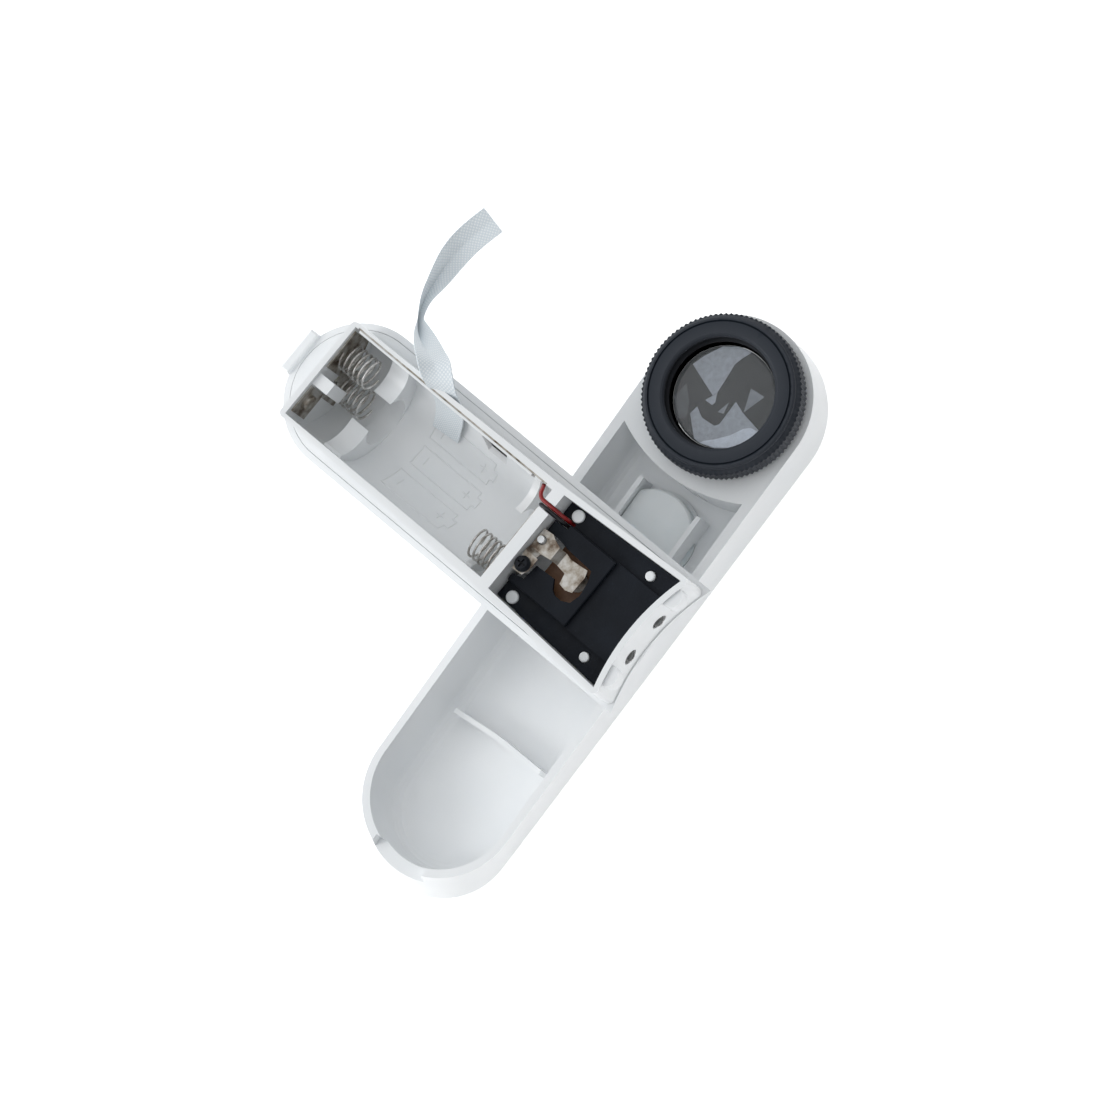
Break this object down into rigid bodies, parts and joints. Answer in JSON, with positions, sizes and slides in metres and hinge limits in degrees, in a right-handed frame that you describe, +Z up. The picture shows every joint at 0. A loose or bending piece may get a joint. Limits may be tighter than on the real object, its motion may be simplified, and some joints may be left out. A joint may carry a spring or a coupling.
{
  "type": "illuminated hand lens",
  "caption": "Battery powered pocket magnifier, opened: housing with a knurled focusing lens head and push button, and the lifted out battery cartridge lying across its tray.",
  "frame": {"origin": "centre of the specimen port, on the lens axis, at the housing's resting face", "axes": "+X along the housing from the handle end towards the lens, +Z up along the lens axis"},
  "size_m": [0.1293, 0.098, 0.0389],
  "materials": {
    "white_abs": "smooth cool white ABS, semi gloss",
    "white_pad": "soft translucent white pad",
    "black_abs": "black moulded plastic",
    "black_ring": "satin black knurled plastic",
    "black_plate": "fine grained black plastic",
    "lens_glass": "clear polished lens",
    "clear_acrylic": "clear moulded acrylic",
    "nickel": "nickel plated spring steel",
    "black_steel": "blackened steel",
    "brown_board": "brown phenolic board",
    "led_epoxy": "clear epoxy lamp",
    "red_pvc": "red PVC insulation",
    "black_pvc": "black PVC insulation",
    "ribbon_weave": "woven grey ribbon"
  },
  "bodies": {
    "housing": {"housing_shell": "white_abs", "lens_barrel": "black_abs", "light_guide": "clear_acrylic"},
    "button": {"push_button": "white_pad"},
    "focus": {"focus_ring": "black_ring", "bezel_ring": "black_ring"},
    "lens_group": {"lens_cell": "black_abs", "cell_lip_ring": "black_abs", "eye_lens": "lens_glass", "lens_spacer": "black_abs", "field_lens": "lens_glass", "retaining_ring": "black_abs"},
    "cartridge": {"outer_cover": "white_abs", "battery_box": "white_abs", "spring_plate": "nickel", "spring_a": "nickel", "spring_b": "nickel", "nipple_contact": "nickel", "divider_plate": "nickel", "spring_c": "nickel", "bus_strip": "nickel", "switch_plate": "black_plate", "insulator_board": "brown_board", "blade_screw": "black_steel", "fixed_contact": "nickel", "led_left": "led_epoxy", "led_right": "led_epoxy", "red_wire": "red_pvc", "black_wire": "black_pvc", "pull_ribbon": "ribbon_weave"},
    "switch_blade": {"contact_blade": "nickel"}
  },
  "joints": [
    {"name": "button_press", "type": "slide", "parent": "housing", "child": "button", "axis": [0, 0, 1], "range_m": [0, 0.001], "stiffness_N_per_m": 150},
    {"name": "focus_turn", "type": "hinge", "parent": "housing", "child": "focus", "pos_m": [0, 0, 0.0175], "axis": [0, 0, 1], "range_deg": [-90, 90]},
    {"name": "lens_travel", "type": "slide", "parent": "housing", "child": "lens_group", "axis": [0, 0, 1], "range_m": [-0.001, 0.001]},
    {"name": "cartridge_lift", "type": "slide", "parent": "housing", "child": "cartridge", "axis": [0, 0, 1], "range_m": [0, 0.03]},
    {"name": "blade_flex", "type": "hinge", "parent": "cartridge", "child": "switch_blade", "pos_m": [-0.04458, 0.00703, 0.03305], "axis": [0.9979, -0.064, 0], "range_deg": [-2.7, 0], "stiffness_Nm_per_rad": 0.22}
  ],
  "couplings": [
    {"joint": "focus_turn", "follows": "lens_travel", "rad_per_m": 1570.8}
  ]
}
